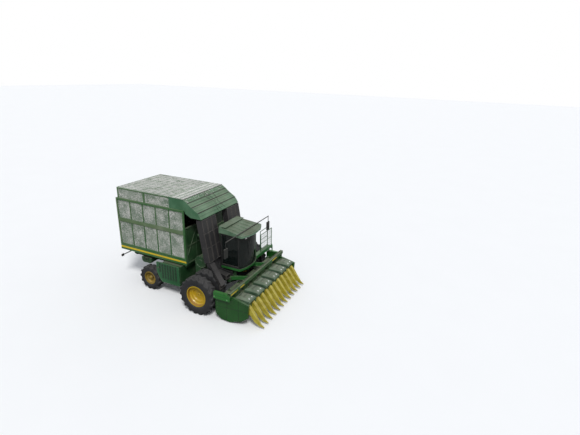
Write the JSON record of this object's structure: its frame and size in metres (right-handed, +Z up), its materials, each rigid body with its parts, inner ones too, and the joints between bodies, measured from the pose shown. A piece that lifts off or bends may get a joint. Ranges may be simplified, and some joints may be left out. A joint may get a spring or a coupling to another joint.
{
  "type": "cotton harvester",
  "caption": "Self-propelled row crop cotton picker with lifting header, cab, air ducts and a side-tipping basket.",
  "frame": {"origin": "on the ground, under the middle of the machine's outline", "axes": "+X forward towards the stalk lifters, +Y to the machine's left, +Z up"},
  "size_m": [8.66, 5.04, 4.932],
  "materials": {
    "frame_green": "satin dark green paint with dust",
    "panel_green": "satin green paint, dusty",
    "roof_green": "weathered green paint with lint and dust",
    "duct_black": "matte black sheet, scuffed",
    "dark_iron": "oily dark iron",
    "polished_rod": "polished rod",
    "drum_steel": "worn steel",
    "screen_steel": "perforated screen with lint",
    "exhaust_metal": "weathered bare metal",
    "cab_black": "black trim",
    "glass": "tinted glass",
    "lamp": "lamp lens and housing",
    "seat_cloth": "woven seat cloth",
    "rail_green": "dusty green paint",
    "lifter_yellow": "worn yellow paint",
    "rim_yellow": "yellow paint, dusty",
    "tyre": "dusty rubber"
  },
  "bodies": {
    "root": {"main_frame": "frame_green", "front_axle": "frame_green", "rear_axle": "frame_green", "engine_block": "dark_iron", "engine_housing": "frame_green", "side_tanks": "frame_green", "duct_supports": "frame_green", "lower_ducts": "duct_black", "duct_sleeves": "duct_black", "fan_housings": "frame_green", "exhaust_pipe": "exhaust_metal", "platform": "panel_green", "handrails": "rail_green", "cab_floor": "panel_green", "cab_frame": "cab_black", "cab_glass": "glass", "cab_roof": "roof_green", "lamps": "lamp", "mirrors": "cab_black", "cab_fittings": "cab_black", "seat_cushion": "seat_cloth"},
    "header": {"toolbar": "panel_green", "lift_arms": "panel_green", "row_units_right": "panel_green", "row_units_left": "panel_green", "picking_drums": "drum_steel", "unit_caps": "roof_green", "stalk_lifters": "lifter_yellow", "end_shields": "panel_green"},
    "header_barrels": {"header_barrels": "dark_iron"},
    "header_rods": {"header_rods": "polished_rod"},
    "basket": {"basket_floor": "frame_green", "basket_sides": "panel_green", "basket_screens": "screen_steel", "basket_ends": "panel_green", "top_frame": "panel_green", "top_screens": "screen_steel", "hood": "roof_green"},
    "unload_door": {"unload_door": "panel_green"},
    "basket_barrels": {"basket_barrels": "dark_iron"},
    "basket_rods": {"basket_rods": "polished_rod"},
    "cab_door": {"cab_door": "cab_black"},
    "service_door_right": {"service_door_right": "panel_green"},
    "service_door_left": {"service_door_left": "panel_green"},
    "knuckle_right": {"knuckle_right": "dark_iron"},
    "knuckle_left": {"knuckle_left": "dark_iron"},
    "tie_rod": {"tie_rod": "dark_iron"},
    "front_wheels_right": {"front_rims_right": "rim_yellow", "front_tyres_right": "tyre"},
    "front_wheels_left": {"front_rims_left": "rim_yellow", "front_tyres_left": "tyre"},
    "rear_wheel_right": {"rear_rim_right": "rim_yellow", "rear_tyre_right": "tyre"},
    "rear_wheel_left": {"rear_rim_left": "rim_yellow", "rear_tyre_left": "tyre"}
  },
  "joints": [
    {"name": "header_lift", "type": "hinge", "parent": "root", "child": "header", "pos_m": [1.83, 0, 1.23], "axis": [0, -1, 0], "range_deg": [0, 18]},
    {"name": "header_barrel_pivot", "type": "hinge", "parent": "root", "child": "header_barrels", "pos_m": [1.54, 0, 0.83], "axis": [0, -1, 0], "range_deg": [0, 9.21]},
    {"name": "header_rod_slide", "type": "slide", "parent": "header_barrels", "child": "header_rods", "axis": [0.8622, 0, 0.5065], "range_m": [0, 0.05053]},
    {"name": "basket_tip", "type": "hinge", "parent": "root", "child": "basket", "pos_m": [1.09, 1.62, 1.7], "axis": [-1, 0, 0], "range_deg": [0, 45]},
    {"name": "basket_barrel_pivot", "type": "hinge", "parent": "root", "child": "basket_barrels", "pos_m": [1.09, 0.74, 1.175], "axis": [-1, 0, 0], "range_deg": [0, 34.08]},
    {"name": "basket_rod_slide", "type": "slide", "parent": "basket_barrels", "child": "basket_rods", "axis": [0, -0.3774, 0.926], "range_m": [0, 0.71]},
    {"name": "unload_door_hinge", "type": "hinge", "parent": "basket", "child": "unload_door", "pos_m": [1.09, 1.572, 3.424], "axis": [-1, 0, 0], "range_deg": [0, 80]},
    {"name": "cab_door_hinge", "type": "hinge", "parent": "root", "child": "cab_door", "pos_m": [2.236, 0.76, 2.5], "axis": [0, 0, -1], "range_deg": [0, 80]},
    {"name": "service_door_right_hinge", "type": "hinge", "parent": "root", "child": "service_door_right", "pos_m": [-0.325, -1.814, 1.2], "axis": [0, 0, 1], "range_deg": [0, 80]},
    {"name": "service_door_left_hinge", "type": "hinge", "parent": "root", "child": "service_door_left", "pos_m": [-0.325, 1.814, 1.2], "axis": [0, 0, -1], "range_deg": [0, 80]},
    {"name": "steer_left", "type": "hinge", "parent": "root", "child": "knuckle_left", "pos_m": [-2.25, 1.26, 0.62], "axis": [0, 0, 1], "range_deg": [-30, 30]},
    {"name": "steer_right", "type": "hinge", "parent": "root", "child": "knuckle_right", "pos_m": [-2.25, -1.26, 0.62], "axis": [0, 0, 1], "range_deg": [-30, 30]},
    {"name": "tie_rod_pivot", "type": "hinge", "parent": "knuckle_left", "child": "tie_rod", "pos_m": [-2.51, 1.26, 0.51], "axis": [0, 0, 1], "range_deg": [-30, 30]},
    {"name": "front_wheels_right_spin", "type": "hinge", "parent": "root", "child": "front_wheels_right", "pos_m": [1.09, -1.53, 0.89], "axis": [0, 1, 0], "continuous": true},
    {"name": "rear_wheel_right_spin", "type": "hinge", "parent": "knuckle_right", "child": "rear_wheel_right", "pos_m": [-2.25, -1.545, 0.62], "axis": [0, 1, 0], "continuous": true},
    {"name": "front_wheels_left_spin", "type": "hinge", "parent": "root", "child": "front_wheels_left", "pos_m": [1.09, 1.53, 0.89], "axis": [0, 1, 0], "continuous": true},
    {"name": "rear_wheel_left_spin", "type": "hinge", "parent": "knuckle_left", "child": "rear_wheel_left", "pos_m": [-2.25, 1.545, 0.62], "axis": [0, 1, 0], "continuous": true}
  ],
  "couplings": [
    {"joint": "header_barrel_pivot", "follows": "header_lift", "ratio": 0.51146},
    {"joint": "header_rod_slide", "follows": "header_lift", "m_per_rad": 0.16083},
    {"joint": "basket_barrel_pivot", "follows": "basket_tip", "ratio": 0.75727},
    {"joint": "basket_rod_slide", "follows": "basket_tip", "m_per_rad": 0.904},
    {"joint": "steer_right", "follows": "steer_left", "ratio": 1},
    {"joint": "tie_rod_pivot", "follows": "steer_left", "ratio": -1}
  ]
}
